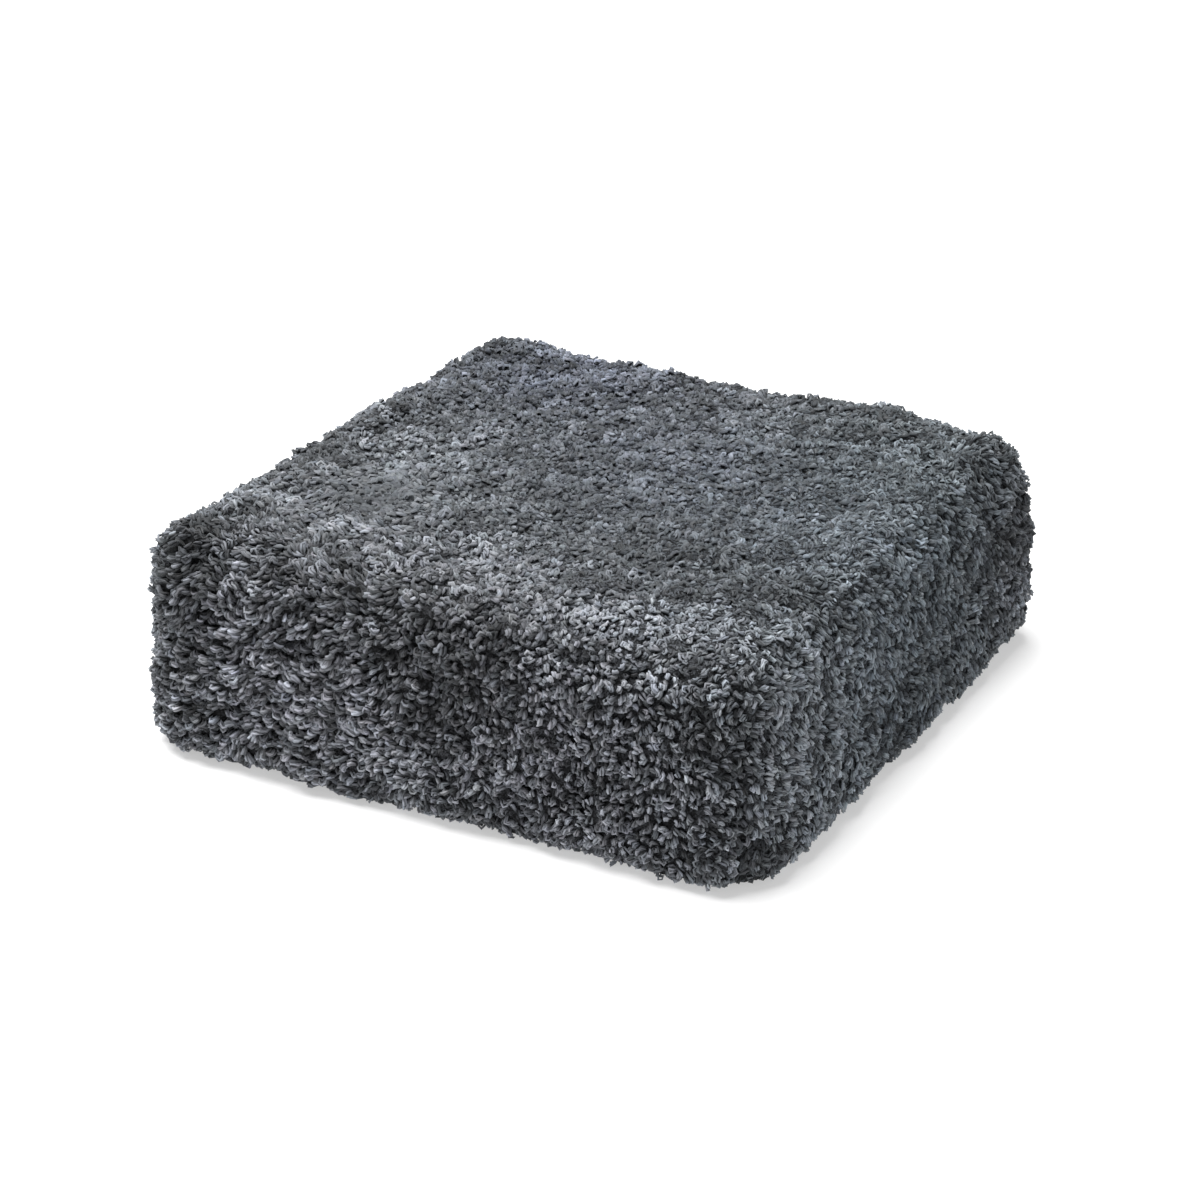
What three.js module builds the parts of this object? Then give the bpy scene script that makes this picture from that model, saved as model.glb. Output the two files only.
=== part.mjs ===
// A square sheepskin pouf: a firm filled block in a cover of short curly fleece.
// Units are millimetres, +Z is up, and the origin is the middle of the flat underside.
// The four walls face -Y (front), +X (right), +Y (back) and -X (left).
import * as THREE from "three";
import { ImprovedNoise } from "three/addons/math/ImprovedNoise.js";

// Overall sizes, to the tips of the fleece.
const WIDTH = 550;
const HEIGHT = 178;
const HALF = WIDTH / 2;

// Rounded edges of the filled block.
const CORNER_RADIUS = 46; // the four upright corners, seen from above
const TOP_ROUND = 28; // where the walls turn into the top
const FOOT_ROUND = 22; // where the walls turn under

// How the filling settles.
const LEAN = 3; // each wall stands this much further out at the foot than at the top edge
const TOP_WAIST = 2; // the top edges draw in this much midway between the corners
const FOOT_BULGE = 8; // the walls swell out this much at the foot, midway between the corners
const CROWN = 6; // the middle of the top stands this much over its edges
const EAR = 3; // the corners of the top stand this much over the edges between them

// The seams that join the top and the four walls, each a soft parting of the fleece.
const SEAM_DEPTH = 5;
const SEAM_WIDTH = 9;
const TOP_SEAM_ANGLE = 22.5; // degrees up the rounded top edge from the wall, where the top seam runs

// Mesh fineness.
const CELLS_ACROSS = 46; // cells along each side of the top
const WALL_ROWS = 11;
const TOP_ARC_ROWS = 4;
const FOOT_ARC_ROWS = 3;

// The uneven surface of the fleece, from slow to fine, each with its length along the surface and its height.
const UNEVENNESS = [
  { what: "clumps of curls", length: 52, height: 4 },
  { what: "tufts", length: 23, height: 4 },
];

// Swellings and hollows at their own places on the cover, each with its reach and height.
const SWELLS = [
  { what: "foot of the front wall, left end", x: -190, y: -272, z: 10, reach: 75, height: 9 },
  { what: "foot of the front wall, right of its middle", x: 85, y: -274, z: 5, reach: 60, height: -4 },
  { what: "foot of the right wall, front half", x: 275, y: -165, z: 5, reach: 75, height: 6 },
  { what: "far right corner", x: 272, y: 248, z: 85, reach: 80, height: 10 },
  { what: "back edge of the top, right end", x: 215, y: 258, z: 178, reach: 30, height: -3 },
  { what: "back edge of the top, right half", x: 140, y: 255, z: 175, reach: 55, height: 9 },
  { what: "back left corner of the top", x: -225, y: 250, z: 178, reach: 45, height: 4 },
  { what: "left edge of the top, front half", x: -262, y: -100, z: 168, reach: 100, height: 5 },
  { what: "left edge of the top, rear half", x: -266, y: 60, z: 172, reach: 50, height: 4 },
  { what: "front left corner of the top", x: -255, y: -255, z: 174, reach: 36, height: 7 },
  { what: "front left corner, lower half", x: -266, y: -266, z: 50, reach: 45, height: 6 },
  { what: "foot of the front wall, left of its middle", x: -70, y: -276, z: 10, reach: 75, height: 6 },
  { what: "foot of the front right corner", x: 266, y: -246, z: 8, reach: 40, height: 4 },
  { what: "foot of the right wall, rear half", x: 277, y: 80, z: 10, reach: 100, height: 6 },
];

const SHADE = { color: 0x3f4347, roughness: 0.95, metalness: 0 };

const clamp = THREE.MathUtils.clamp;
const mix = THREE.MathUtils.lerp;
const noise = new ImprovedNoise();

// Where (u, v), a point on the edge of the unit square, lies on a rounded square, and which way that faces.
function outline(u, v, half, radius) {
  const inner = half - radius;
  const cx = clamp(u * half, -inner, inner);
  const cy = clamp(v * half, -inner, inner);
  const facing = new THREE.Vector2(u * half - cx, v * half - cy).normalize();
  return { x: cx + radius * facing.x, y: cy + radius * facing.y, facing };
}

// The steps once round the edge of the unit square, each side starting at its corner.
function edgeSteps() {
  const sides = [(t) => [t, -1], (t) => [1, t], (t) => [-t, 1], (t) => [-1, -t]];
  return sides.flatMap((side) =>
    Array.from({ length: CELLS_ACROSS }, (_, i) => side((2 * i) / CELLS_ACROSS - 1)),
  );
}

// A wall's section from the underside to the top: how far it lies inside the wall, how high, and its tilt.
function wallSection() {
  const section = [];
  const wallTop = HEIGHT - TOP_ROUND;
  for (let i = 0; i < FOOT_ARC_ROWS; i++) {
    const tilt = (i / FOOT_ARC_ROWS - 1) * (Math.PI / 2);
    section.push({
      inset: FOOT_ROUND * (1 - Math.cos(tilt)),
      z: FOOT_ROUND * (1 + Math.sin(tilt)),
      tilt,
    });
  }
  for (let i = 0; i < WALL_ROWS; i++)
    section.push({ inset: 0, z: mix(FOOT_ROUND, wallTop, i / WALL_ROWS), tilt: 0 });
  for (let i = 0; i <= TOP_ARC_ROWS; i++) {
    const tilt = (i / TOP_ARC_ROWS) * (Math.PI / 2);
    section.push({
      inset: TOP_ROUND * (1 - Math.cos(tilt)),
      z: wallTop + TOP_ROUND * Math.sin(tilt),
      tilt,
    });
  }
  return section;
}

// The block with its filling settled: leaning walls, drawn-in top edges, a swelling foot, a crown and ears.
function settled(x, y, z) {
  const up = z / HEIGHT;
  const across = clamp(x / HALF, -1, 1);
  const along = clamp(y / HALF, -1, 1);
  const lean = LEAN * (0.5 - up);
  const swell = mix(FOOT_BULGE, -TOP_WAIST, up);
  const rise = CROWN * (1 - across ** 2) * (1 - along ** 2) + EAR * (across * along) ** 4;
  return new THREE.Vector3(
    x + across * (lean + swell * (1 - along ** 2) * across ** 2),
    y + along * (lean + swell * (1 - across ** 2) * along ** 2),
    z + rise * up ** 6,
  );
}

// How far the fleece stands out at a place: its unevenness and its swells.
function fleeceRise(p) {
  let rise = 0;
  for (const { length, height } of UNEVENNESS)
    rise += height * noise.noise(p.x / length, p.y / length, p.z / length);
  for (const s of SWELLS) {
    const d = p.distanceTo(new THREE.Vector3(s.x, s.y, s.z));
    rise += s.height * Math.exp(-((d / s.reach) ** 2));
  }
  return rise;
}

// How deep the seams part the fleece: one round the top edge, and one down each upright corner.
function seamParting(facing, tilt) {
  const seamTilt = THREE.MathUtils.degToRad(TOP_SEAM_ANGLE);
  const fromTopSeam = Math.abs(tilt - seamTilt) * TOP_ROUND;
  const turn = Math.atan2(Math.abs(facing.y), Math.abs(facing.x));
  const fromCornerSeam = tilt <= seamTilt ? Math.abs(turn - Math.PI / 4) * CORNER_RADIUS : Infinity;
  const nearest = tilt < 0 ? fromCornerSeam : Math.min(fromTopSeam, fromCornerSeam);
  return SEAM_DEPTH * Math.exp(-((nearest / SEAM_WIDTH) ** 2));
}

// A place on the finished cover, for a place on the plain block and the way the block faces there.
// Under the walls the fleece stands out level, so the cover rests flat.
function coverPoint(x, y, z, facing, tilt) {
  const p = settled(x, y, z);
  const stand = fleeceRise(p) - seamParting(facing, tilt);
  const rise = Math.max(tilt, 0);
  p.x += facing.x * Math.cos(rise) * stand;
  p.y += facing.y * Math.cos(rise) * stand;
  p.z += Math.sin(rise) * stand;
  return p;
}

// The cover as one closed surface: rings up the walls, a grid over the top, and a fan of faces underneath.
function coverGeometry() {
  const points = [];
  const faces = [];
  const steps = edgeSteps();
  const section = wallSection();
  const add = (p) => points.push(p) - 1;

  // Two faces for each cell between two rows of points.
  const fillRows = (lower, upper, closed) => {
    const cells = closed ? lower.length : lower.length - 1;
    for (let i = 0; i < cells; i++) {
      const k = (i + 1) % lower.length;
      faces.push(lower[i], lower[k], upper[k]);
      faces.push(lower[i], upper[k], upper[i]);
    }
  };

  // The rings, from the edge of the underside up to the edge of the top.
  const rings = section.map(({ inset, z, tilt }) =>
    steps.map(([u, v]) => {
      const { x, y, facing } = outline(u, v, HALF - inset, CORNER_RADIUS - inset);
      return add(coverPoint(x, y, z, facing, tilt));
    }),
  );
  for (let j = 0; j + 1 < rings.length; j++) fillRows(rings[j], rings[j + 1], true);

  // The grid over the top. Its edge is the last ring, and inside that the same outline shrinks to the middle.
  const rim = rings.at(-1);
  const n = CELLS_ACROSS;
  const onRim = (i, j) => {
    if (j === 0) return rim[i % (4 * n)];
    if (i === n) return rim[n + j];
    if (j === n) return rim[3 * n - i];
    return rim[4 * n - j];
  };
  const inside = (i, j) => {
    const u = (2 * i) / n - 1;
    const v = (2 * j) / n - 1;
    const share = Math.max(Math.abs(u), Math.abs(v));
    const { inset, z, tilt } = section.at(-1);
    if (share === 0) return add(coverPoint(0, 0, z, new THREE.Vector2(), tilt));
    const { x, y, facing } = outline(u / share, v / share, HALF - inset, CORNER_RADIUS - inset);
    return add(coverPoint(x * share, y * share, z, facing, tilt));
  };
  const grid = [];
  for (let j = 0; j <= n; j++) {
    grid.push([]);
    for (let i = 0; i <= n; i++) {
      const edge = i === 0 || j === 0 || i === n || j === n;
      grid[j].push(edge ? onRim(i, j) : inside(i, j));
    }
  }
  for (let j = 0; j < n; j++) fillRows(grid[j], grid[j + 1], false);

  // The flat underside.
  const middle = add(new THREE.Vector3());
  const sole = rings[0];
  sole.forEach((corner, i) => faces.push(middle, sole[(i + 1) % sole.length], corner));

  const geometry = new THREE.BufferGeometry().setFromPoints(points);
  geometry.setIndex(faces);
  return geometry;
}

// Moves the cover so that its outline is centred over the origin, with the underside on Z = 0.
function centred(geometry) {
  geometry.computeBoundingBox();
  const middle = geometry.boundingBox.getCenter(new THREE.Vector3());
  geometry.translate(-middle.x, -middle.y, 0);
  geometry.computeVertexNormals();
  return geometry;
}

const pouf = new THREE.Mesh(centred(coverGeometry()), new THREE.MeshStandardMaterial(SHADE));
pouf.name = "filled_fleece_pouf";

const object = new THREE.Group();
object.add(pouf);

export default object;
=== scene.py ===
import math

import bpy
import numpy as np
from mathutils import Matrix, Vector


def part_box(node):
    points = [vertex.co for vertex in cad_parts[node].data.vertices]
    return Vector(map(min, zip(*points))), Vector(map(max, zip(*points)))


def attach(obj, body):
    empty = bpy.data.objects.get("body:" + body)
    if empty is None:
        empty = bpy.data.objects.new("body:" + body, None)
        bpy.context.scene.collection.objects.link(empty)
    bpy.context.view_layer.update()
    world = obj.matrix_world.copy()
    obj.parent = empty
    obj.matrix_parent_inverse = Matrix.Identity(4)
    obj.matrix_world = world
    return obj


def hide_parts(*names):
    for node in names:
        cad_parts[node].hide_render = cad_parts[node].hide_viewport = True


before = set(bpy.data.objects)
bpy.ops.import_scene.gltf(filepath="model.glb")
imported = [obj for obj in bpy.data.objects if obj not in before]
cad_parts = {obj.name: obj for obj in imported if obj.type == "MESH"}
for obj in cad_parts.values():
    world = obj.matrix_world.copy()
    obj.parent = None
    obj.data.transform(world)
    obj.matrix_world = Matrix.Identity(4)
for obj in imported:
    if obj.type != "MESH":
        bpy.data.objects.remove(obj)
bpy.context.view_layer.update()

# A square sheepskin pouf: a padded cover, and on it thousands of short curly locks of wool.
# Every size is in metres and every angle in degrees, unless a name says otherwise.
NODE = "filled_fleece_pouf"
lowest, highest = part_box(NODE)
HALF_WIDTH = (highest.x - lowest.x) / 2
TOP = highest.z

# The camera of the reference view, which looks at a point just inside the pouf.
CAMERA_AZIMUTH = 29.17
CAMERA_ELEVATION = 25.43
CAMERA_DISTANCE = 2.4646
CAMERA_TARGET = (0.01265, -0.0270, 0.088)
SENSOR = 36.0  # in millimetres, as is the lens
LENS = 89.81

# The floor, the light from all round, and the large soft light overhead.
FLOOR_REACH = 80.0
FLOOR_GREY = 0.52
FLOOR_GLOW = 0.47
ROUND_LIGHT = 0.35
OVERHEAD_LIGHT = 6.3
OVERHEAD_WIDTH = 45.0
OVERHEAD_WAY = (0.30, -0.05, -1.0)  # the way that the light falls

# The padded cover under the curls.
SKIN_DEPTH = 0.0014  # the cover is made this deep inside the solid
VOXEL = 0.0072
PRESSURE = 4.0
PUFF_FRAMES = 20
MOST_PUFF = 0.003
REST_BAND = 0.002  # what lies lower than this rests on the floor

# The seams, each a groove in the cover and a line of painted shade in the fleece.
SEAM_GROOVE = 0.0030
SEAM_PAINTED_SHADE = 0.45  # how much painted shade darkens the fleece along a seam, as a logarithm
SEAM_REACH = 0.009
CORNER_RADIUS = 0.046
TOP_SEAM_DROP = 0.018  # the top seam runs this far under the highest point
TOP_SEAM_BAND = 0.03  # and it lies no further than this inside the walls
FAR_OFF = 1e3  # a distance at which a seam doesn't count

# The clumps that the locks stand in, each a low dome.
CLUMP_PITCH = 0.023
CLUMP_RISE = 0.0032
DOME_MIDDLE = 0.5  # the middle of a dome stands this share of its rise over the cover
DOME_FOOT = 1.3  # it falls off up to here, in squares of half a pitch from its middle
CLUMP_LIFT = 0.0010  # the spread of the heights of whole clumps
CLUMP_SWIRL = 0.6  # the spread of how far the locks of a clump point away from its middle
CLUMP_TONE = 0.20  # the spread of the tones of whole clumps, as a logarithm
CLUMP_GAP = 0.0045  # painted shade darkens the fleece, and it lies deeper, in a band this wide between two clumps
GAP_PAINTED_SHADE = 0.86  # how much the painted shade darkens it, on a crisp pile
GAP_DEPTH = 0.0015  # and how much deeper

# How the locks are spread over the cover, and which way they point along it.
UNDERNEATH = -0.8  # no locks grow where the cover's normal points down more than this
TOP_FACING = 0.7  # the locks are of the top where it points up more than this
PLACE_SHIFT = 0.45  # a lock stands up to this share of a pitch from its even place
OWN_PULL = 0.3  # how strongly the random way of a lock counts
SWIRL_PULL = 0.6  # and the swirl of its clump
FLOW_LENGTH = 0.060  # the brushed way turns to and fro over this length
FLOW_TURN = 25.0  # by this spread

# The locks of wool. Each is a bundle of strands side by side that arch out of the fleece and curl round.
LOCK_LENGTH = (0.0095, 0.0140)
LEAN_SPREAD = 0.28  # the surface that a lock lies on leans at random by this spread, as a slope
CLUMP_LEAN = 0.5  # and away from the middle of its clump by this share of the dome's slope
ROOT_DEPTH = 0.0006  # the root of a lock lies this deep under the cover
ARCH = 0.0050  # the middle of a lock stands this much over its root
ARCH_RANGE = (0.7, 1.3)  # and differs from lock to lock between these shares
ARCH_TOP = 0.6  # a lock is highest at this share of its length
TIP_DROP = 0.0032  # and its tip lies this much lower
EDGE_DROP = 0.0018  # the first and last strand lie this much lower than the middle ones
BEND_RANGE = (0.7, 1.3)  # the bend of a lock differs between these shares
BEND_POWER = 1.4  # a lock turns slowly at first
BEND_BEFORE = 0.4  # and has this share of its bend behind it at its root
OPENING_POWER = 0.3  # how bluntly the strands of a lock part at its root and meet at its tip
SECTION_ROUND = 1.2  # how far the outer strands of a lock face sideways

# The strands of a lock.
SIDES = 3  # corners round a strand
STRAND_WIDTH = (0.0019, 0.0027)
STRAND_FLATNESS = 0.8  # a strand is this share as thick as it is wide
STRAND_LENGTH = (0.88, 1.12)  # the lengths of the strands of a lock, against its own
STRAND_SHIFT = 0.10  # a strand is shifted along by up to this share of its length
STRAND_FAN = 8.0  # the spread of the ways that the strands of a lock point
STRAND_JITTER = 0.10  # and of their places across it, as a share of its width
STRAND_WOBBLE = 0.0002
TAPER_POWER = 0.4  # how bluntly a strand ends
FLOOR_CLEARANCE = 0.0003
EVEN_SHADING = (0.40, 0.85)  # how far the strands of a lock are shaded as one, on a crisp and on a soft pile
CELL_MARGIN = 0.06  # the bare edge of a strand's cell on the bake map, as a share of the cell

# The pile of each part: the space for one lock, its strands, the distance from the first to the last of them,
# the places along a strand with its two pointed ends, the spread of tone from strand to strand, and how much
# painted shade darkens the outer strands of a lock, so that its middle reads as lit.
PILES = [
    dict(pitch=0.0058, strands=3, spread=(0.0028, 0.0042), steps=6, unevenness=0.25, shade=1.0, pieces=[
        "front_wall_curls_left",
    ]),
    dict(pitch=0.0055, strands=3, spread=(0.0028, 0.0042), steps=5, unevenness=0.20, shade=0.6, pieces=[
        "front_wall_curls_right",
    ]),
    dict(pitch=0.0060, strands=2, spread=(0.0026, 0.0040), steps=5, unevenness=0.20, shade=0.4, pieces=[
        "top_curls_front_left", "top_curls_front_right", "top_curls_back_left", "top_curls_back_right",
    ]),
    dict(pitch=0.0067, strands=4, spread=(0.0042, 0.0062), steps=4, unevenness=0.24, shade=0.4, pieces=[
        "right_wall_curls",
    ]),
    dict(pitch=0.0070, strands=3, spread=(0.0038, 0.0056), steps=4, unevenness=0.20, shade=0.6, pieces=[
        "back_wall_curls", "left_wall_curls",
    ]),
]

# How the pile lies in each part: a place, how far that reaches, which way the locks point there and how
# strongly, how many degrees they curl round, the share of them that curl the same way round, with a sign for
# the way, their size, the stoutness of their strands, their relief and the slow changes of tone against the
# mean, and how much softer and finer they look, from 0 to 1.
NAP = [
    dict(what="left half of the front wall", at=(-0.15, -0.28, 0.09), reach=0.15, way=(-1.0, 0.0, -0.15),
         pull=2.2, bend=160, handed=-0.90, size=1.05, stout=1.30, relief=1.3, patchy=1.2, softness=0.0),
    dict(what="front edge of the top", at=(0.08, -0.235, 0.18), reach=0.08, way=(0.6, -0.8, -0.4),
         pull=0.3, bend=170, handed=0.0, size=0.75, stout=1.60, relief=1.1, patchy=1.0, softness=0.50),
    dict(what="right half of the front wall", at=(0.16, -0.28, 0.09), reach=0.13, way=(0.5, 0.0, -1.0),
         pull=0.6, bend=190, handed=0.0, size=0.80, stout=1.40, relief=1.2, patchy=1.2, softness=0.0),
    dict(what="ridge by the front right corner", at=(0.275, -0.19, 0.11), reach=0.06, way=(0.0, 0.6, -0.8),
         pull=1.0, bend=80, handed=0.0, size=0.8, stout=1.1, relief=0.9, patchy=1.0, softness=0.4),
    dict(what="right wall", at=(0.28, 0.03, 0.09), reach=0.22, way=(0.0, 0.35, -1.0),
         pull=1.6, bend=90, handed=0.0, size=0.83, stout=1.05, relief=0.85, patchy=0.8, softness=0.38),
    dict(what="top", at=(0.0, 0.03, 0.19), reach=0.27, way=(0.87, 0.49, 0.0),
         pull=0.4, bend=200, handed=0.0, size=0.76, stout=1.95, relief=0.95, patchy=1.2, softness=0.78),
    dict(what="back left of the top", at=(-0.19, 0.17, 0.185), reach=0.10, way=(-0.6, -0.8, 0.0),
         pull=0.3, bend=210, handed=0.0, size=0.84, stout=1.7, relief=1.2, patchy=1.4, softness=0.55),
    dict(what="flowing patch of the top", at=(-0.15, -0.13, 0.185), reach=0.06, way=(-0.87, -0.49, 0.0),
         pull=1.5, bend=60, handed=0.0, size=0.85, stout=1.2, relief=0.8, patchy=1.4, softness=0.85),
    dict(what="far right corner", at=(0.268, 0.235, 0.155), reach=0.040, way=(0.6, 0.6, 0.3),
         pull=0.5, bend=120, handed=0.0, size=0.9, stout=1.1, relief=1.6, patchy=1.0, softness=0.3),
    dict(what="front left corner of the top", at=(-0.258, -0.258, 0.180), reach=0.030, way=(-0.6, -0.6, 0.3),
         pull=0.5, bend=120, handed=0.0, size=0.9, stout=1.2, relief=1.6, patchy=1.0, softness=0.1),
    dict(what="back wall", at=(0.0, 0.28, 0.09), reach=0.22, way=(0.6, 0.0, -0.8),
         pull=0.8, bend=170, handed=0.0, size=0.88, stout=1.30, relief=1.1, patchy=1.1, softness=0.15),
    dict(what="left wall", at=(-0.28, 0.0, 0.09), reach=0.22, way=(0.0, -0.6, -0.8),
         pull=0.8, bend=170, handed=0.0, size=0.88, stout=1.30, relief=1.1, patchy=1.1, softness=0.15),
]
MEAN_LAY = {
    "bend": 130, "handed": 0.0, "size": 0.85, "stout": 1.1, "relief": 1.0, "patchy": 1.0, "softness": 0.2,
}

# Where the fleece is paler or darker than the rest: a place, how far that reaches, and how much, as a
# logarithm. Some rows are the wool's own tone; others are painted light: painted highlight where the rolled
# front edge and the flat-lying patch catch the light, and painted shade in hollows, a valley, the corner
# seam, under the front edge and at the foot.
PATCHES = [
    # painted highlight: the flat-lying pile of this patch catching the light
    dict(what="flowing patch on the left of the top", at=(-0.157, -0.125, 0.185), reach=0.060, tone=0.74),
    dict(what="pale spot behind it", at=(-0.150, -0.030, 0.185), reach=0.035, tone=0.55),
    dict(what="left edge of the top, middle", at=(-0.250, -0.050, 0.180), reach=0.045, tone=-0.80),
    dict(what="front edge of the top, left", at=(-0.115, -0.255, 0.170), reach=0.050, tone=-0.72),
    # painted highlight: the pale band where the front edge rolls over and catches the light
    dict(what="pale band inside the front edge, middle", at=(0.037, -0.220, 0.180), reach=0.045, tone=0.70),
    dict(what="pale band, right of its middle", at=(0.100, -0.228, 0.180), reach=0.040, tone=0.60),
    dict(what="pale band, right", at=(0.178, -0.222, 0.180), reach=0.045, tone=0.42),
    dict(what="dark left corner of the top", at=(-0.220, -0.262, 0.168), reach=0.055, tone=-1.25),
    # painted shade: the hollows under the front edge
    dict(what="hollow left of the middle", at=(-0.015, -0.270, 0.136), reach=0.055, tone=-1.15),
    dict(what="hollow right of the middle", at=(0.050, -0.270, 0.140), reach=0.050, tone=-0.70),
    # painted shade in a valley between swirls
    dict(what="valley at the left of the front wall", at=(-0.105, -0.272, 0.118), reach=0.030, tone=-0.80),
    # painted shade under the front edge
    dict(what="under the front edge, right", at=(0.190, -0.263, 0.158), reach=0.042, tone=-0.65),
    dict(what="dark back left corner", at=(-0.230, 0.220, 0.180), reach=0.045, tone=-0.75),
    dict(what="back left of the top", at=(-0.170, 0.150, 0.186), reach=0.070, tone=0.15),
    dict(what="back edge of the top, middle", at=(-0.030, 0.220, 0.185), reach=0.090, tone=-0.20),
    dict(what="back edge of the top, right", at=(0.140, 0.240, 0.185), reach=0.065, tone=-0.58),
    dict(what="dark far right corner", at=(0.280, 0.218, 0.110), reach=0.072, tone=-0.78),
    dict(what="dark zone on the right of the top", at=(0.100, -0.140, 0.182), reach=0.055, tone=-0.52),
    dict(what="right edge of the top, front", at=(0.215, -0.125, 0.179), reach=0.045, tone=-0.58),
    dict(what="right side of the top", at=(0.110, 0.045, 0.187), reach=0.050, tone=0.04),
    dict(what="ridge beside the corner seam, high", at=(0.261, -0.165, 0.165), reach=0.050, tone=0.72),
    dict(what="ridge beside the corner seam, middle", at=(0.272, -0.205, 0.115), reach=0.040, tone=0.85),
    dict(what="ridge beside the corner seam, low", at=(0.278, -0.215, 0.055), reach=0.050, tone=0.65),
    # painted shade in the corner seam
    dict(what="corner seam at the front right, middle", at=(0.263, -0.249, 0.102), reach=0.028, tone=-0.50),
    # painted shade at the foot of the front wall
    dict(what="foot of the front wall, left", at=(-0.212, -0.283, 0.050), reach=0.055, tone=-0.88),
    dict(what="foot of the wall, left of its middle", at=(-0.110, -0.286, 0.022), reach=0.045, tone=-0.80),
    dict(what="foot left of the middle", at=(-0.050, -0.282, 0.030), reach=0.035, tone=-0.15),
    dict(what="left end of the front wall", at=(-0.265, -0.275, 0.090), reach=0.045, tone=-0.40),
    dict(what="right wall behind the ridge", at=(0.275, -0.110, 0.110), reach=0.060, tone=0.42),
    dict(what="middle of the right wall", at=(0.280, 0.050, 0.080), reach=0.090, tone=-0.10),
    dict(what="pale curls high on the left of the wall", at=(-0.165, -0.271, 0.145), reach=0.030, tone=0.50),
    dict(what="pale curls at the left of the wall", at=(-0.145, -0.278, 0.080), reach=0.035, tone=0.35),
    dict(what="pale curls beside them", at=(-0.078, -0.276, 0.085), reach=0.032, tone=0.65),
    dict(what="pale curls right of the hollows", at=(0.115, -0.268, 0.140), reach=0.030, tone=0.45),
    dict(what="pale curls below the hollows", at=(0.082, -0.274, 0.107), reach=0.030, tone=0.65),
    dict(what="right half of the front wall", at=(0.160, -0.278, 0.060), reach=0.100, tone=-0.26),
]

# Slow changes of tone all over, from fine to wide, each with its length along the surface and its spread.
TONE_WAVES = [
    dict(length=0.015, spread=0.12),
    dict(length=0.030, spread=0.10),
    dict(length=0.070, spread=0.12),
    dict(length=0.180, spread=0.10),
]
OWN_TONE = 0.42  # the spread of tone from lock to lock on a crisp pile, as a logarithm
SOFT_EVENNESS = 0.38  # how much smaller that is on a soft pile
SOFT_FILL = 0.5  # and how much less painted shade its gaps between clumps have
PALEST = 2.1  # no lock is paler than this, against the mean
PALEST_COVER = 1.1  # and the cover between the locks no paler than this

# How much bluer and greener the fleece is in each part than the mean, as logarithms.
TINTS = [
    dict(what="left half of the front wall", at=(-0.15, -0.28, 0.09), reach=0.15, blue=-0.02, green=-0.05),
    dict(what="right half of the front wall", at=(0.13, -0.28, 0.08), reach=0.15, blue=-0.03, green=-0.05),
    dict(what="front edge of the top", at=(0.00, -0.23, 0.18), reach=0.08, blue=-0.03, green=-0.01),
    dict(what="middle of the top", at=(0.03, 0.04, 0.19), reach=0.13, blue=0.09, green=-0.04),
    dict(what="back left of the top", at=(-0.15, 0.20, 0.18), reach=0.11, blue=0.17, green=-0.065),
    dict(what="back right of the top", at=(0.20, 0.17, 0.19), reach=0.12, blue=0.05, green=0.025),
    dict(what="right wall", at=(0.28, 0.00, 0.09), reach=0.20, blue=0.13, green=0.005),
    dict(what="far end of the right wall", at=(0.28, 0.22, 0.10), reach=0.07, blue=-0.02, green=-0.05),
    dict(what="back wall", at=(0.00, 0.29, 0.05), reach=0.18, blue=0.00, green=-0.035),
    dict(what="left wall", at=(-0.29, 0.00, 0.05), reach=0.18, blue=0.00, green=-0.035),
]
TINT_SPREAD = {"blue": 0.03, "green": 0.012}  # how much the locks differ in it

# The wool's colours: its darkest, between its fibres and where painted shade falls deep in the pile, its
# palest, for the painted highlight on the ridge of a strand, and where it is matted.
DEEP_WOOL = (0.003, 0.0033, 0.0036, 1)
PALE_WOOL = (0.448, 0.49, 0.532, 1)
PALE_MAT = (0.15, 0.164, 0.178, 1)

# How pale a strand is at its root, where it is darker of its own and with painted shade, between its fibres,
# and on its flanks, where painted shade falls, against its palest places, and how pale those are.
CRISP_STRAND = dict(root=0.15, between_fibres=0.55, painted_flank_shade=0.28, pale=0.79)
SOFT_STRAND = dict(root=0.50, between_fibres=0.75, painted_flank_shade=0.75, pale=0.110)
ROOT_STEP = (0.05, 0.45)  # it grows paler from its root between these shares of its length, partly its own darker root and partly painted shade
TIP_STEP = (0.75, 1.0)  # and darker again between these, with painted shade where the tip sinks into the pile
TIP_PAINTED_SHADE = 0.5
RIDGE_HIGHLIGHT_STEP = (-0.7, 0.8)  # and paler to its ridge between these cosines of the angle from there, a painted highlight
FIBRE_SCALE = 1.6
FIBRE_STEP = (0.42, 0.60)  # a fibre is pale where its noise is over these limits
FIBRE_TWIST = 0.3  # the fibres wind round a strand by this share of a turn
PATTERN_SHIFT = 60  # the fibres of the strands are cut from a length of this many strands
WOOL_ROUGHNESS = 0.75
FIBRE_GLOSS = 0.25  # how much less rough the fibres are
MAT_SCALE = 380.0
MAT_STEP = (0.40, 0.68)
CRISP_MAT_SHADED = 0.26  # how pale the matted wool is under a crisp pile, against a soft one: painted shade under the locks

SEED = 1637
rng = np.random.default_rng(SEED)
TINY = 1e-12  # keeps a vector of no length from being divided by zero
WELD_DIGITS = 6  # points are one where they agree to so many decimals


def unit(v):
    """Vectors scaled to length one."""
    return v / np.maximum(np.linalg.norm(v, axis=-1, keepdims=True), TINY)


def between(limits, shape):
    """Random numbers between two limits."""
    return rng.uniform(limits[0], limits[1], shape)


def wave_field(length, count=24):
    """A slow random field of mean 0 and spread 1, as a function of places: the scaled sum of waves in random
    directions and phases, all of one length."""
    ways = unit(rng.normal(size=(count, 3))) * 2 * np.pi / length
    phases = rng.uniform(0, 2 * np.pi, count)
    return lambda places: np.cos(places @ ways.T + phases).sum(1) * math.sqrt(2 / count)


tone_fields = [wave_field(wave["length"]) for wave in TONE_WAVES]
flow = wave_field(FLOW_LENGTH)


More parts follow.
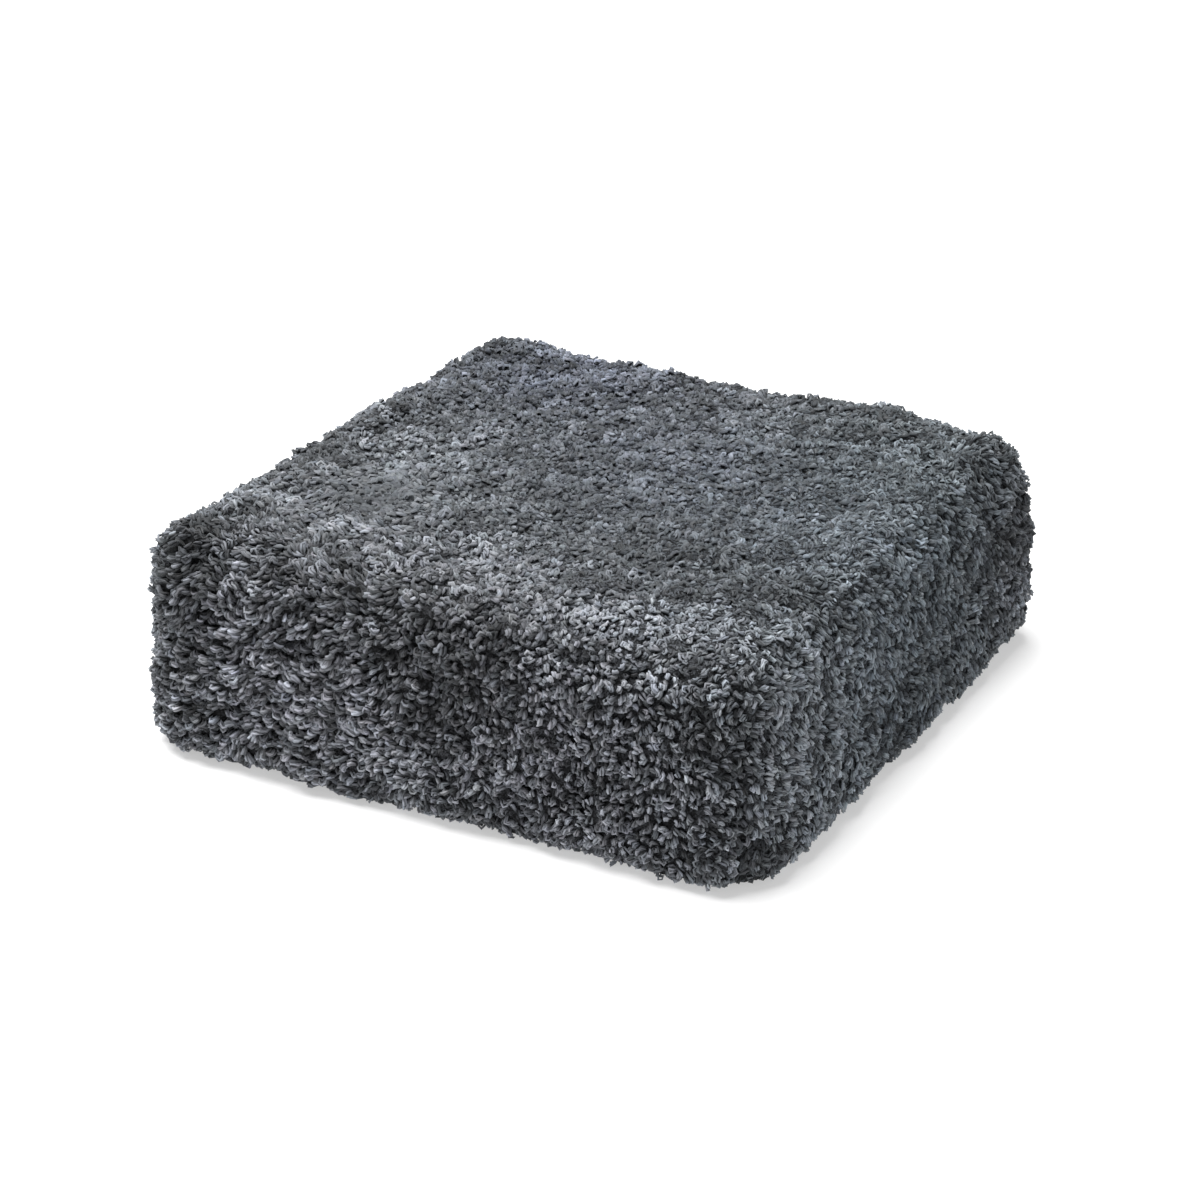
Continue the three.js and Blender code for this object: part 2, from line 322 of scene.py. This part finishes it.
def mesh_object(name, points, faces):
    """A mesh object of points (n, 3) and faces, each an array of equal rows of point numbers."""
    mesh = bpy.data.meshes.new(name)
    corners = np.concatenate([f.ravel() for f in faces])
    sizes = np.concatenate([np.full(len(f), f.shape[1]) for f in faces])
    starts = np.concatenate([[0], np.cumsum(sizes)[:-1]])
    mesh.vertices.add(len(points))
    mesh.loops.add(len(corners))
    mesh.polygons.add(len(sizes))
    mesh.vertices.foreach_set("co", points.astype(np.float32).ravel())
    mesh.loops.foreach_set("vertex_index", corners.astype(np.int32))
    mesh.polygons.foreach_set("loop_start", starts.astype(np.int32))
    mesh.polygons.foreach_set("use_smooth", np.ones(len(sizes), bool))
    mesh.update(calc_edges=True)
    piece = bpy.data.objects.new(name, mesh)
    bpy.context.scene.collection.objects.link(piece)
    return piece


def rows(items, key):
    """One vector of each item of a mesh, such as each point's place, as rows."""
    values = np.empty(len(items) * 3, np.float32)
    items.foreach_get(key, values)
    return values.reshape(-1, 3).astype(float)


def places_and_normals(mesh):
    """Where the points of a mesh are, and the way that it faces there."""
    return rows(mesh.vertices, "co"), rows(mesh.vertex_normals, "vector")


def move_points(mesh, points):
    """Puts the points of a mesh at new places."""
    mesh.vertices.foreach_set("co", points.astype(np.float32).ravel())
    mesh.update()


def on_floor(before, after):
    """Moved points, but with those that rested on the floor still there, and none under it."""
    after[:, 2] = np.where(before[:, 2] < REST_BAND, 0, np.maximum(after[:, 2], 0))
    return after


def on_points(mesh, label, values):
    """Gives a mesh a number or a colour for each of its points, by name."""
    kind, slot = ("FLOAT", "value") if values.ndim == 1 else ("FLOAT_VECTOR", "vector")
    layer = mesh.attributes.new(label, kind, "POINT")
    layer.data.foreach_set(slot, values.astype(np.float32).ravel())


def applied(piece):
    """Puts the result of a piece's modifiers in its mesh."""
    bpy.context.view_layer.update()
    depsgraph = bpy.context.evaluated_depsgraph_get()
    mesh = bpy.data.meshes.new_from_object(piece.evaluated_get(depsgraph))
    piece.modifiers.clear()
    piece.data = mesh


def remeshed(piece, width):
    """Remakes the mesh of a piece with even faces of one width."""
    remesh = piece.modifiers.new("even faces", "REMESH")
    remesh.mode = "VOXEL"
    remesh.voxel_size = width
    applied(piece)


def welded_node(name):
    """The points and triangles of a CAD node, with equal points merged into one."""
    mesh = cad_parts[name].data
    corners = np.empty(len(mesh.loops), np.int32)
    mesh.loops.foreach_get("vertex_index", corners)
    points = rows(mesh.vertices, "co")[corners]
    rounded = np.round(points, WELD_DIGITS)
    _, first, merged = np.unique(rounded, axis=0, return_index=True, return_inverse=True)
    return points[first], merged.reshape(-1, 3)


def point_normals(points, triangles):
    """The outward normal at each point: the sum of the area vectors of its triangles, at length one."""
    a, b, c = (points[triangles[:, i]] for i in range(3))
    area = np.cross(b - a, c - a)
    total = np.zeros_like(points)
    for i in range(3):
        np.add.at(total, triangles[:, i], area)
    return unit(total)


def near_seam(points):
    """How near each point is to a seam, from 0 to 1: a bell over the distance from the line round the top
    edge, and from the four upright corner lines, where both walls are equally near."""
    across = HALF_WIDTH - np.abs(points[:, :2])
    corner = np.abs(across[:, 0] - across[:, 1]) + FAR_OFF * (across.max(1) > CORNER_RADIUS)
    level = np.abs(points[:, 2] - (TOP - TOP_SEAM_DROP)) + FAR_OFF * (across.min(1) > TOP_SEAM_BAND)
    nearest = np.minimum(corner / math.sqrt(2), level)
    return np.exp(-((nearest / SEAM_REACH) ** 2))


def padded_cover():
    """The filled cover: the CAD solid drawn in a little, remeshed evenly, blown up as cloth by its filling,
    and pressed in again along its seams."""
    points, triangles = welded_node(NODE)
    inner = on_floor(points, points - SKIN_DEPTH * point_normals(points, triangles))
    cover = mesh_object("padded_cover", inner, [triangles])
    remeshed(cover, VOXEL)
    blown_up(cover)
    points, normals = places_and_normals(cover.data)
    pressed = points - SEAM_GROOVE * near_seam(points)[:, None] * normals
    move_points(cover.data, on_floor(points, pressed))
    cover.data.polygons.foreach_set("use_smooth", np.ones(len(cover.data.polygons), bool))
    return cover


def blown_up(cover):
    """Runs the cloth simulation on the cover, with pressure inside and no gravity. The firm filling holds
    the cover out, so a point keeps only its outward move, and no more of it than the filling gives. Where the
    cover rests on the floor it stays."""
    before, normals = places_and_normals(cover.data)
    cloth = cover.modifiers.new("filling", "CLOTH")
    cloth.settings.use_pressure = True
    cloth.settings.uniform_pressure_force = PRESSURE
    cloth.settings.effector_weights.gravity = 0
    cloth.point_cache.frame_start = 1
    cloth.point_cache.frame_end = PUFF_FRAMES
    scene = bpy.context.scene
    for step in range(1, PUFF_FRAMES + 1):
        scene.frame_set(step)
    applied(cover)
    scene.frame_set(1)
    move = ((rows(cover.data.vertices, "co") - before) * normals).sum(1, keepdims=True)
    after = before + np.clip(move, 0, MOST_PUFF) * normals
    after[:, 2] = np.where(before[:, 2] < REST_BAND, before[:, 2], after[:, 2])
    move_points(cover.data, after)


def flattened(vectors, normals):
    """Vectors laid in the surface: less their part along the normal, at length one."""
    return unit(vectors - (vectors * normals).sum(1, keepdims=True) * normals)


def spaced_places(cover, pitch):
    """Places spread evenly over the cover, all but underneath, and the outward normal at each: a copy of the
    cover is remeshed with faces as wide as the pitch, and a place lies near the middle of each."""
    scaffold = bpy.data.objects.new("scaffold", cover.data.copy())
    bpy.context.scene.collection.objects.link(scaffold)
    remeshed(scaffold, pitch)
    centres = rows(scaffold.data.polygons, "center")
    normals = rows(scaffold.data.polygons, "normal")
    bpy.data.objects.remove(scaffold)
    woolly = normals[:, 2] > UNDERNEATH
    centres, normals = centres[woolly], normals[woolly]
    step = rng.uniform(-PLACE_SHIFT, PLACE_SHIFT, centres.shape) * pitch
    return centres + step - (step * normals).sum(1, keepdims=True) * normals, normals


def near_shares(places, table):
    """How much each row of a table counts at each place: a bell over the distance."""
    return [np.exp(-(((places - row["at"]) ** 2).sum(1) / row["reach"] ** 2)) for row in table]


def local_mean(places, key):
    """One value of the lay of the pile at each place, from the mean and the areas that it is near."""
    pairs = zip(near_shares(places, NAP), NAP)
    return MEAN_LAY[key] + sum((row[key] - MEAN_LAY[key]) * near for near, row in pairs)


def new_clumps(cover):
    """The clumps of the fleece: the middle of each, which way round its locks swirl and how far they point
    out of it, its tone and its height."""
    middles, _ = spaced_places(cover, CLUMP_PITCH)
    return {
        "middles": middles,
        "spin": rng.choice([-1.0, 1.0], len(middles)),
        "swirl": rng.normal(0, CLUMP_SWIRL, len(middles)),
        "tone": rng.normal(0, CLUMP_TONE, len(middles)),
        "lift": rng.normal(0, CLUMP_LIFT, len(middles)),
    }


def clumps_at(places, middles, at_once=1000):
    """For each place, the number of the clump that it belongs to, the way from the clump's middle, and how
    near it is to the next clump: 1 on the line between two, and 0 well inside."""
    owner = np.empty(len(places), int)
    gap = np.empty(len(places))
    for start in range(0, len(places), at_once):
        part = slice(start, start + at_once)
        far = np.linalg.norm(places[part, None] - middles[None], axis=2)
        two = np.partition(far, 1, axis=1)[:, :2]
        owner[part] = far.argmin(1)
        gap[part] = two[:, 1] - two[:, 0]
    return owner, places - middles[owner], np.exp(-((gap / CLUMP_GAP) ** 2))


def domed(cover, clumps):
    """Raises the cover to a low dome for each clump of locks, which falls off with the square of the distance
    from its middle. Where the cover rests on the floor it stays."""
    points, normals = places_and_normals(cover.data)
    owner, outward, _ = clumps_at(points, clumps["middles"])
    far = (outward**2).sum(1) / (CLUMP_PITCH / 2) ** 2
    height = CLUMP_RISE * local_mean(points, "relief") * (DOME_MIDDLE - np.minimum(far, DOME_FOOT))
    raised = points + (height + clumps["lift"][owner])[:, None] * normals
    move_points(cover.data, on_floor(points, raised))


def lay_of_pile(roots, normals, owner, outward, clumps):
    """How each lock lies: which way it points along the surface, from its own random part, the swirl of its
    clump and the slowly turning lay of each brushed area, and its bend, size, relief and softness."""
    spin = clumps["spin"][owner]
    round_clump = spin[:, None] * np.cross(normals, outward) + clumps["swirl"][owner, None] * outward
    pairs = zip(near_shares(roots, NAP), NAP)
    brushed = sum(row["pull"] * near[:, None] * unit(np.array(row["way"])) for near, row in pairs)
    turn = math.radians(FLOW_TURN) * flow(roots)[:, None]
    way = OWN_PULL * unit(rng.normal(size=roots.shape)) + SWIRL_PULL * flattened(round_clump, normals)
    way += np.cos(turn) * brushed + np.sin(turn) * np.cross(normals, brushed)
    lay = {key: local_mean(roots, key) for key in MEAN_LAY}
    handed = rng.uniform(0, 1, len(roots)) < np.abs(lay["handed"])
    lay["bend"] *= np.where(handed, np.sign(lay["handed"]), spin) * between(BEND_RANGE, len(roots))
    return flattened(way, normals), lay


def slow_tones(places):
    """How pale the fleece is at each place, against the mean: the patches, partly painted light, the painted
    shade along the seams and the slow waves.
    """
    tone = sum(row["tone"] * near for near, row in zip(near_shares(places, PATCHES), PATCHES))
    # painted shade along the seams
    tone -= SEAM_PAINTED_SHADE * near_seam(places)
    waves = sum(wave["spread"] * field(places) for wave, field in zip(TONE_WAVES, tone_fields))
    return np.exp(tone + waves * local_mean(places, "patchy"))


def lock_tones(roots, owner, gap, lay, clumps):
    """How pale each lock is: the slow tones, times a random part of its own, a part of its clump, and the
    painted shade between two clumps."""
    own = rng.normal(0, OWN_TONE, len(roots)) * (1 - SOFT_EVENNESS * lay["softness"])
    # painted shade in the gaps between clumps, less on a soft pile
    dark = GAP_PAINTED_SHADE * gap * np.minimum(lay["relief"], 1) * (1 - SOFT_FILL * lay["softness"])
    return slow_tones(roots) * np.exp(own + clumps["tone"][owner] * lay["patchy"]) * (1 - dark)


def slow_tints(places):
    """How blue and how green the fleece is at each place against the mean, as logarithms."""
    near = near_shares(places, TINTS)
    return {key: sum(row[key] * share for row, share in zip(TINTS, near)) for key in TINT_SPREAD}


def tinted_tones(tones, tints):
    """The colour that a tone and a tint multiply the wool by, as red, green and blue."""
    return tones[:, None] * np.exp(np.stack([-tints["blue"] / 2, tints["green"], tints["blue"] / 2], 1))


def strand_colours_and_painted_light(roots, tones, pile):
    """The colour that each strand is multiplied by, from the tones of the locks, with their painted light.
    Painted shade darkens the outer strands of a lock, and both the strands and the locks differ a little at
    random."""
    across = np.abs(np.linspace(-1, 1, pile["strands"]))
    # painted shade on the outer strands of a lock
    tones = (tones[:, None] * np.exp(pile["shade"] * (across.mean() - across))).ravel()
    tones *= np.exp(rng.normal(0, pile["unevenness"], len(tones)))
    tints = {
        key: np.repeat(slow + rng.normal(0, TINT_SPREAD[key], len(roots)), pile["strands"])
        for key, slow in slow_tints(roots).items()
    }
    return tinted_tones(PALEST * np.tanh(tones / PALEST), tints)


def piece_names(places, normals):
    """The name of the piece that each place belongs to: a quarter of the top, or the wall that it is on."""
    x, y = places[:, 0], places[:, 1]
    right, back = np.where(x > 0, "right", "left"), np.where(y > 0, "back", "front")
    wall = np.char.add(np.where(np.abs(x) > np.abs(y), right, back), "_wall_curls")
    wall = np.where(wall == "front_wall_curls", np.char.add("front_wall_curls_", right), wall)
    top = np.char.add(np.char.add("top_curls_", back), np.char.add("_", right))
    return np.where(normals[:, 2] > TOP_FACING, top, wall)


def steps_along(count):
    """The shares of a strand's length at which its steps lie, closer together towards its two ends: the mean
    of even steps and of the steps of half a cosine wave."""
    even = np.linspace(0, 1, count)
    return (even + (1 - np.cos(np.pi * even)) / 2) / 2


def lock_axes(normals, ways, lay, outward):
    """The forward, left and up axis of each lock. The surface that it lies on leans at random, and away from
    the middle of its clump as the dome does."""
    dome_slope = 2 * CLUMP_RISE / (CLUMP_PITCH / 2) ** 2
    lean = rng.normal(0, LEAN_SPREAD, normals.shape)
    lean = lean + CLUMP_LEAN * dome_slope * outward * lay["relief"][:, None]
    up = unit(normals + lean)
    forward = flattened(ways, up)
    return forward, np.cross(up, forward), up


def strand_arrays(roots, axes, lay, gap, pile):
    """The centre line, outward and sideways axes, thickness, and way that it faces as part of its lock, of
    every strand, as arrays of strand by step.

    A lock starts under the cover and points along its way. Its heading turns along the surface by its bend,
    slowly at first, and its height follows an arch that ends above its root. The strands of a lock lie side
    by side over a rounded section, and meet at its two ends."""
    each, steps = (len(roots), pile["strands"]), pile["steps"]
    forward, left, up = (axis[:, None, None] for axis in axes)
    t = steps_along(steps)
    opening = np.sin(np.pi * t) ** OPENING_POWER
    place = np.linspace(-0.5, 0.5, each[1]) + rng.normal(0, STRAND_JITTER, each)

    # The heading of a strand at each step, and the path that it makes.
    bend = lay["bend"][:, None, None] * (t**BEND_POWER - BEND_BEFORE)
    bend = np.radians(bend + rng.normal(0, STRAND_FAN, each)[..., None])[..., None]
    heading = np.cos(bend) * forward + np.sin(bend) * left
    sideways = np.cos(bend) * left - np.sin(bend) * forward
    moves = (heading[:, :, 1:] + heading[:, :, :-1]) / 2 * np.diff(t)[:, None]
    path = np.concatenate([np.zeros((*each, 1, 3)), np.cumsum(moves, axis=2)], axis=2)
    path += between((-STRAND_SHIFT, STRAND_SHIFT), each)[..., None, None] * forward
    length = between(LOCK_LENGTH, each[:1])[:, None] * lay["size"][:, None] * between(STRAND_LENGTH, each)

    # Its height over the cover, and its place across the lock.
    arch = ARCH * np.sin(np.pi / 2 * np.minimum(t / ARCH_TOP, 1))
    arch = arch - TIP_DROP * np.maximum((t - ARCH_TOP) / (1 - ARCH_TOP), 0) ** 2
    rise = arch * (lay["relief"] * between(ARCH_RANGE, each[0]))[:, None, None]
    rise = rise - EDGE_DROP * 4 * (place**2)[..., None] * opening
    rise = rise - (ROOT_DEPTH + GAP_DEPTH * gap)[:, None, None]
    spread = (between(pile["spread"], each[0]) * lay["size"])[:, None, None] * place[..., None] * opening
    line = roots[:, None, None] + (path - path.mean(2, keepdims=True)) * length[..., None, None]
    line += spread[..., None] * sideways + rise[..., None] * up + rng.normal(0, STRAND_WOBBLE, line.shape)

    # The way that it faces, and how thick it is.
    ahead = unit(np.gradient(line, axis=2))
    outer = up + SECTION_ROUND * place[..., None, None] * sideways
    out = unit(outer - (outer * ahead).sum(3, keepdims=True) * ahead)
    width = (lay["stout"] * lay["size"])[:, None] * between(STRAND_WIDTH, each)
    thick = width[..., None] / 2 * np.sin(np.pi * t) ** TAPER_POWER
    side = np.cross(ahead, out)
    arrays = {"line": line, "out": out, "side": side, "face": unit(outer), "thick": thick[..., None]}
    return {key: value.reshape(-1, steps, value.shape[-1]) for key, value in arrays.items()}


def strand_faces(rings):
    """The faces of one strand, as numbers of its points: the corners of its rings, its root and its tip."""
    k = np.arange(SIDES)
    after = (k + 1) % SIDES
    row = (np.arange(rings - 1) * SIDES)[:, None]
    quads = np.stack([row + k, row + after, row + SIDES + after, row + SIDES + k], -1).reshape(-1, 4)
    root, tip, last = rings * SIDES, rings * SIDES + 1, (rings - 1) * SIDES
    ends = np.concatenate([
        np.stack([np.full(SIDES, root), after, k], -1),
        np.stack([np.full(SIDES, tip), last + k, last + after], -1),
    ])
    return quads, ends


def face_maps(steps):
    """Where the corners of one strand's faces lie on its map: around the strand across, and along it
    upwards."""
    along = steps_along(steps)[1:-1]
    at = np.arange(SIDES) / SIDES
    step = 1 / SIDES
    quad_u = np.stack([at, at + step, at + step, at], -1)
    quad_v = np.stack([along[:-1], along[:-1], along[1:], along[1:]], -1)
    root_u = np.stack([at + step / 2, at + step, at], -1)
    root_v = np.array([0, along[0], along[0]])
    tip_u = np.stack([at + step / 2, at, at + step], -1)
    tip_v = np.array([1, along[-1], along[-1]])
    pairs = [(quad_u[None], quad_v[:, None]), (root_u, root_v), (tip_u, tip_v)]
    quads, root, tip = (np.stack(np.broadcast_arrays(*pair), -1).reshape(-1, 2) for pair in pairs)
    return quads, np.concatenate([root, tip])


def add_maps(mesh, count, steps):
    """Gives a mesh of strands its two maps: the pattern map, where all strands lie on each other, and the
    bake map, where each has a cell of its own."""
    corners = face_maps(steps)
    cells = math.ceil(math.sqrt(count))
    cell = np.stack([np.arange(count) % cells, np.arange(count) // cells], -1)[:, None]
    inside = [(cell + CELL_MARGIN + (1 - 2 * CELL_MARGIN) * part) / cells for part in corners]
    maps = {
        "locks": [np.tile(part, (count, 1)) for part in corners],
        "OFBake": [part.reshape(-1, 2) for part in inside],
    }
    for label, parts in maps.items():
        layer = mesh.uv_layers.new(name=label)
        layer.uv.foreach_set("vector", np.concatenate(parts).astype(np.float32).ravel())
    mesh.uv_layers["locks"].active_render = True


def strand_mesh(name, strands):
    """Joins strands in one mesh. Each has a ring of corners at every step between its two pointed ends. The
    normal at a corner is mixed from the way it points from the strand and the way its lock faces there."""
    line, face = strands["line"], strands["face"]
    count, steps = line.shape[:2]
    angle = 2 * np.pi * np.arange(SIDES) / SIDES
    out = np.cos(angle)[:, None] * strands["out"][:, 1:-1, None]
    side = np.sin(angle)[:, None] * strands["side"][:, 1:-1, None]
    ring = line[:, 1:-1, None] + strands["thick"][:, 1:-1, None] * (STRAND_FLATNESS * out + side)
    points = np.concatenate([ring.reshape(count, -1, 3), line[:, :1], line[:, -1:]], axis=1)
    points[..., 2] = np.maximum(points[..., 2], FLOOR_CLEARANCE)
    share = np.interp(strands["softness"], (0, 1), EVEN_SHADING)[:, None, None, None]
    around = unit((1 - share) * (out + side) + share * face[:, 1:-1, None])
    shading = np.concatenate([around.reshape(count, -1, 3), face[:, :1], face[:, -1:]], axis=1)

    quads, ends = strand_faces(steps - 2)
    per_strand = points.shape[1]
    first = (np.arange(count) * per_strand)[:, None, None]
    faces = [(first + quads).reshape(-1, 4), (first + ends).reshape(-1, 3)]
    piece = mesh_object(name, points.reshape(-1, 3), faces)
    add_maps(piece.data, count, steps)
    on_points(piece.data, "softness", np.repeat(strands["softness"], per_strand))
    on_points(piece.data, "kind", np.repeat(rng.uniform(0, 1, count), per_strand))
    on_points(piece.data, "colour_and_painted_light", np.repeat(strands["colour_and_painted_light"], per_strand, axis=0))
    piece.data.normals_split_custom_set_from_vertices(shading.reshape(-1, 3))
    return piece


def add_curls(cover, clumps, pile, wool):
    """Adds the pieces of one pile, which ride on the body with the cover. The locks of all of them are worked
    out together, and then each piece takes its own."""
    roots, normals = spaced_places(cover, pile["pitch"])
    names = piece_names(roots, normals)
    ours = np.isin(names, pile["pieces"])
    roots, normals, names = roots[ours], normals[ours], names[ours]
    owner, outward, gap = clumps_at(roots, clumps["middles"])
    ways, lay = lay_of_pile(roots, normals, owner, outward, clumps)
    strands = strand_arrays(roots, lock_axes(normals, ways, lay, outward), lay, gap, pile)
    strands["colour_and_painted_light"] = strand_colours_and_painted_light(roots, lock_tones(roots, owner, gap, lay, clumps), pile)
    strands["softness"] = np.repeat(np.clip(lay["softness"], 0, 1), pile["strands"])
    for name in pile["pieces"]:
        part = np.repeat(names == name, pile["strands"])
        piece = strand_mesh(name, {key: value[part] for key, value in strands.items()})
        piece.data.materials.append(wool)
        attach(piece, "root")


class Value:
    """A number that changes over a surface. Arithmetic on it adds Math nodes to the material."""

    def __init__(self, shader, socket):
        self.shader, self.socket = shader, socket

    def worked(self, operation, *others):
        return self.shader.node("ShaderNodeMath", {"operation": operation}, [self, *others])

    def __add__(self, other):
        return self.worked("ADD", other)

    def __mul__(self, other):
        return self.worked("MULTIPLY", other)

    def __rsub__(self, other):
        return self * -1 + other

    __radd__, __rmul__ = __add__, __mul__


class Shader:
    """A material whose nodes are made by one method."""

    def __init__(self, name, **constants):
        self.material = bpy.data.materials.new(name)
        self.material.use_nodes = True
        self.tree = self.material.node_tree
        self.surface = self.tree.nodes["Principled BSDF"]
        self.set(self.surface, constants)

    def set(self, node, inputs):
        pairs = inputs.items() if isinstance(inputs, dict) else enumerate(inputs)
        for pin, value in pairs:
            if isinstance(value, Value):
                self.tree.links.new(value.socket, node.inputs[pin])
            else:
                node.inputs[pin].default_value = value

    def node(self, kind, settings=None, inputs=(), output=0):
        """Adds a node: its settings first, and then the values or links of its sockets."""
        node = self.tree.nodes.new(kind)
        for name, value in (settings or {}).items():
            setattr(node, name, value)
        self.set(node, inputs)
        return Value(self, node.outputs[output])

    def noise(self, place, **inputs):
        """A noise pattern, from 0 to 1."""
        return self.node("ShaderNodeTexNoise", {}, {"Vector": place, **inputs})

    def stepped(self, value, limits):
        """A soft step from 0 to 1 as a value goes from the first limit to the second."""
        low, high = limits
        inputs = {"Value": value, "From Min": low, "From Max": high, "To Min": 0.0, "To Max": 1.0}
        return self.node("ShaderNodeMapRange", {"interpolation_type": "SMOOTHSTEP"}, inputs)

    def attribute(self, name, output="Fac"):
        """A number, or with the output Vector a colour, that a piece carries on its points."""
        return self.node("ShaderNodeAttribute", {"attribute_name": name}, (), output)

    def wool_colour(self, pale, palest):
        """From the darkest colour of the wool to the palest one, by a share, and multiplied by the tone,
        painted light and tint that the piece carries.
        """
        grey = self.node("ShaderNodeMix", {"data_type": "RGBA"}, {0: pale, 6: DEEP_WOOL, 7: palest}, 2)
        colour_and_painted_light = self.attribute("colour_and_painted_light", "Vector")
        return self.node("ShaderNodeVectorMath", {"operation": "MULTIPLY"}, [grey, colour_and_painted_light])

    def bumped(self, height, strength, distance):
        """The normal of a surface with a height pattern."""
        inputs = {"Height": height, "Strength": strength, "Distance": distance}
        return self.node("ShaderNodeBump", {}, inputs, "Normal")


def at_least(value, low):
    """A value from 0 to 1, squeezed to go from low to 1."""
    return value * (1 - low) + low


def strand_paleness(rise, streak, ridge, look):
    """How pale a strand is, from how far its places are from its root, on a fibre and on its ridge: darker at
    its root, partly of its own and partly with painted shade, with painted shade on its flanks and a painted
    highlight on its ridge.
    """
    along = at_least(rise, look["root"]) * at_least(streak, look["between_fibres"])
    return along * at_least(ridge, look["painted_flank_shade"]) * look["pale"]


def lock_finish():
    """Wool: dark at the root, partly of its own and partly as painted shade, with painted shade on the flanks
    of a strand and a painted highlight along its ridge, and fine pale fibres that wind along it. Soft locks
    are evener."""
    s = Shader("curly_wool", **{
        "Specular IOR Level": 0.3,
        "Sheen Weight": 0.2,
        "Sheen Roughness": 0.45,
        "Sheen Tint": (0.85, 0.95, 1.0, 1.0),
    })
    place = s.node("ShaderNodeUVMap", {"uv_map": "locks"})
    around = s.node("ShaderNodeSeparateXYZ", {}, [place], "X")
    along = s.node("ShaderNodeSeparateXYZ", {}, [place], "Y")

    # Fibres that wind round the strand, from a place of its own in their pattern.
    turn = (around + along * FIBRE_TWIST) * (2 * math.pi)
    height = along + s.attribute("kind") * PATTERN_SHIFT
    fibre_place = s.node("ShaderNodeCombineXYZ", {}, [turn.worked("COSINE"), turn.worked("SINE"), height])
    fibres = s.noise(fibre_place, Scale=FIBRE_SCALE, Detail=2.0, Roughness=0.6)
    streak = s.stepped(fibres, FIBRE_STEP)

    # Paler from the root to the middle, with painted shade at the root, and a little darker again at the tip
    # with painted shade, and a painted highlight along the ridge.
    rise = s.stepped(along, ROOT_STEP) * (1 - s.stepped(along, TIP_STEP) * TIP_PAINTED_SHADE)
    # painted highlight along the ridge of a strand, painted shade on its flanks
    ridge = s.stepped((around * (2 * math.pi)).worked("COSINE"), RIDGE_HIGHLIGHT_STEP)
    crisp, soft = (strand_paleness(rise, streak, ridge, look) for look in (CRISP_STRAND, SOFT_STRAND))
    softness = s.attribute("softness")
    s.set(s.surface, {
        "Base Color": s.wool_colour(crisp * (1 - softness) + soft * softness, PALE_WOOL),
        "Roughness": WOOL_ROUGHNESS - streak * FIBRE_GLOSS,
        "Normal": s.bumped(fibres, strength=0.7, distance=0.0005),
    })
    return s.material


def cover_finish():
    """The cover under the locks: matted wool with short pale fibres in all directions, with painted shade
    where the pile is crisp and deep, and paler where it lies flat."""
    s = Shader("matted_wool", **{"Specular IOR Level": 0.2, "Roughness": 0.9})
    place = s.node("ShaderNodeTexCoord", {}, (), "Object")
    wool = s.noise(place, Scale=MAT_SCALE, Detail=3.0, Roughness=0.6, Distortion=1.0)
    # painted shade under a crisp pile
    pale = s.stepped(wool, MAT_STEP) * at_least(s.attribute("softness"), CRISP_MAT_SHADED)
    s.set(s.surface, {
        "Base Color": s.wool_colour(pale, PALE_MAT),
        "Normal": s.bumped(wool, strength=0.9, distance=0.0015),
    })
    return s.material


def pale_floor():
    """A plain pale floor, which glows a little."""
    corners = [(-1, -1, 0), (1, -1, 0), (1, 1, 0), (-1, 1, 0)]
    floor = mesh_object("floor", FLOOR_REACH * np.array(corners, float), [np.arange(4)[None]])
    paint = Shader("pale_floor", **{
        "Base Color": (FLOOR_GREY, FLOOR_GREY, FLOOR_GREY, 1),
        "Roughness": 0.9,
        "Specular IOR Level": 0.0,
        "Emission Color": (1, 1, 1, 1),
        "Emission Strength": FLOOR_GLOW,
    })
    floor.data.materials.append(paint.material)


def turned_to(thing, way):
    """Turns a lamp or a camera to look along a way, with its upper edge up, and adds it to the scene."""
    thing.rotation_mode = "QUATERNION"
    thing.rotation_quaternion = Vector(way).to_track_quat("-Z", "Y")
    bpy.context.scene.collection.objects.link(thing)


def studio_light():
    """A large soft light overhead, a little to the left and the back, and soft light from all round."""
    world = bpy.data.worlds.new("studio")
    world.use_nodes = True
    background = world.node_tree.nodes["Background"]
    background.inputs["Color"].default_value = (1, 1, 1, 1)
    background.inputs["Strength"].default_value = ROUND_LIGHT
    bpy.context.scene.world = world
    lamp = bpy.data.lights.new("overhead", "SUN")
    lamp.angle = math.radians(OVERHEAD_WIDTH)
    lamp.energy = OVERHEAD_LIGHT
    turned_to(bpy.data.objects.new("overhead", lamp), OVERHEAD_WAY)


def photo_camera():
    """The camera of the reference view: an azimuth and an elevation round its target."""
    azimuth, elevation = math.radians(CAMERA_AZIMUTH), math.radians(CAMERA_ELEVATION)
    back = Vector((
        math.sin(azimuth) * math.cos(elevation),
        -math.cos(azimuth) * math.cos(elevation),
        math.sin(elevation),
    ))
    camera = bpy.data.objects.new("camera", bpy.data.cameras.new("camera"))
    camera.data.sensor_width = SENSOR
    camera.data.lens = LENS
    camera.location = Vector(CAMERA_TARGET) + back * CAMERA_DISTANCE
    turned_to(camera, -back)
    bpy.context.scene.camera = camera


photo_camera()
pale_floor()
studio_light()
bpy.context.scene.view_settings.view_transform = "Standard"

cover = padded_cover()
cover.data.materials.append(cover_finish())
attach(cover, "root")
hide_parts(NODE)

clumps = new_clumps(cover)
domed(cover, clumps)
skin = rows(cover.data.vertices, "co")
on_points(cover.data, "softness", local_mean(skin, "softness"))
on_points(cover.data, "colour_and_painted_light", tinted_tones(np.minimum(slow_tones(skin), PALEST_COVER), slow_tints(skin)))

wool = lock_finish()
for pile in PILES:
    add_curls(cover, clumps, pile, wool)
